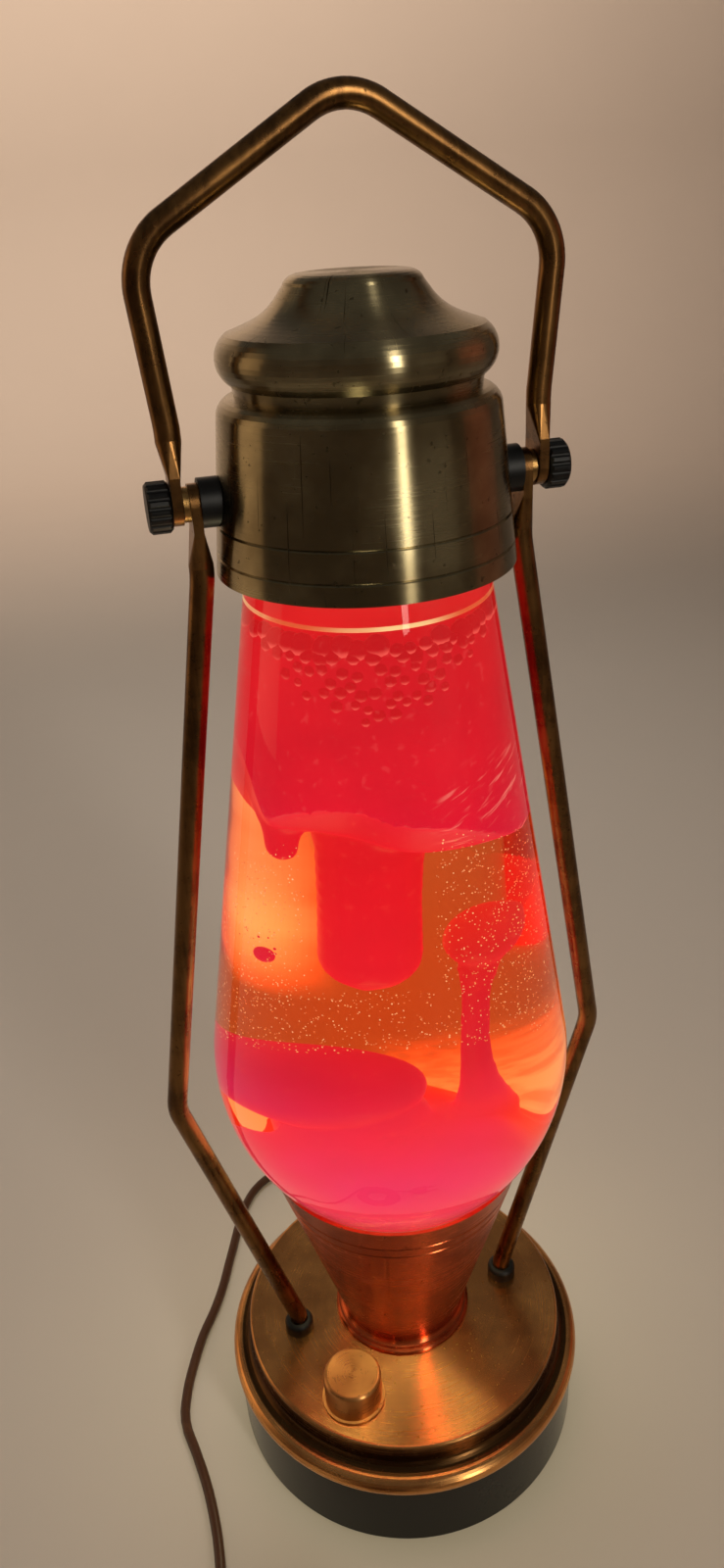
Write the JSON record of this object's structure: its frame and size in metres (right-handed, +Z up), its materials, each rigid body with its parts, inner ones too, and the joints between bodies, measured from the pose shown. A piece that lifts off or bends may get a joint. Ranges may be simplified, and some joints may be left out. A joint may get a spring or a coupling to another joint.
{
  "type": "lantern-style liquid motion lamp",
  "caption": "Liquid motion lamp in the form of a lantern: tapered glass globe of wax and liquid on a round base with a dimmer knob, held by side rods under a domed cap with a bail handle.",
  "frame": {"origin": "on the table, under the globe's axis, at the level of the feet", "axes": "+Z up along the globe's axis, +X along the handle's pivot axis, -Y towards the front, where the dimmer knob is"},
  "size_m": [0.1548, 0.2525, 0.418],
  "materials": {
    "black_gloss": "gloss black enamel",
    "black_plastic": "moulded black plastic",
    "black_metal": "black oxide, knurled",
    "rubber": "soft black rubber",
    "steel": "bright zinc",
    "base_brass": "lathe-brushed satin antique brass",
    "cap_brass": "polished antique brass",
    "rod_brass": "satin antique brass rod",
    "porcelain": "glazed lamp holder",
    "bulb_glass": "frosted lamp glass",
    "globe_glass": "clear glass",
    "liquid": "clear amber-lit liquid",
    "wax": "translucent red wax",
    "cord": "brown vinyl",
    "cord_black": "moulded black vinyl",
    "blade": "bright plated brass"
  },
  "bodies": {
    "lamp": {"plinth_shell": "black_gloss", "pivot_boss_left": "black_plastic", "pivot_boss_right": "black_plastic", "rod_ferrule_left": "black_plastic", "rod_ferrule_right": "black_plastic", "dimmer_body": "black_plastic", "bottom_cover": "black_plastic", "foot_1": "rubber", "foot_2": "rubber", "foot_3": "rubber", "foot_4": "rubber", "cap_pad": "rubber", "globe_gasket": "rubber", "tie_screw_1": "steel", "tie_screw_2": "steel", "tie_screw_3": "steel", "collar_ring": "steel", "socket_bracket": "steel", "bracket_screw_1": "steel", "bracket_screw_2": "steel", "bulb_shell": "steel", "dimmer_nut": "steel", "globe_stopper": "steel", "hood_screw": "steel", "rod_nut_left": "steel", "rod_nut_right": "steel", "pivot_washer_left": "steel", "pivot_washer_right": "steel", "pivot_nut_left": "steel", "pivot_nut_right": "steel", "base_plate": "base_brass", "collar": "base_brass", "cap_skirt": "cap_brass", "cap_hood": "cap_brass", "rod_left": "rod_brass", "rod_right": "rod_brass", "lamp_socket": "porcelain", "bulb_glass": "bulb_glass", "globe_glass": "globe_glass", "liquid": "liquid", "wax_pool": "wax", "wax_hanging": "wax", "wax_droplet": "wax", "power_cord": "cord", "cord_coil": "cord", "strain_relief": "cord_black", "cord_tie": "cord_black", "plug_body": "cord_black", "plug_blade_1": "blade", "plug_blade_2": "blade"},
    "handle": {"handle": "rod_brass"},
    "dimmer_control": {"knob": "base_brass", "dimmer_shaft": "steel"},
    "left_screw": {"thumb_screw_left": "black_metal"},
    "right_screw": {"thumb_screw_right": "black_metal"}
  },
  "joints": [
    {"name": "handle_swing", "type": "hinge", "parent": "lamp", "child": "handle", "pos_m": [0, 0, 0.33444], "axis": [1, 0, 0], "range_deg": [-145, 145]},
    {"name": "dimmer_turn", "type": "hinge", "parent": "lamp", "child": "dimmer_control", "pos_m": [-0.02635, -0.03141, 0.0423], "axis": [0, 0, 1], "range_deg": [-140, 140]},
    {"name": "left_screw_turn", "type": "hinge", "parent": "lamp", "child": "left_screw", "pos_m": [-0.046, 0, 0.33444], "axis": [-1, 0, 0], "continuous": true},
    {"name": "right_screw_turn", "type": "hinge", "parent": "lamp", "child": "right_screw", "pos_m": [0.046, 0, 0.33444], "axis": [1, 0, 0], "continuous": true}
  ]
}
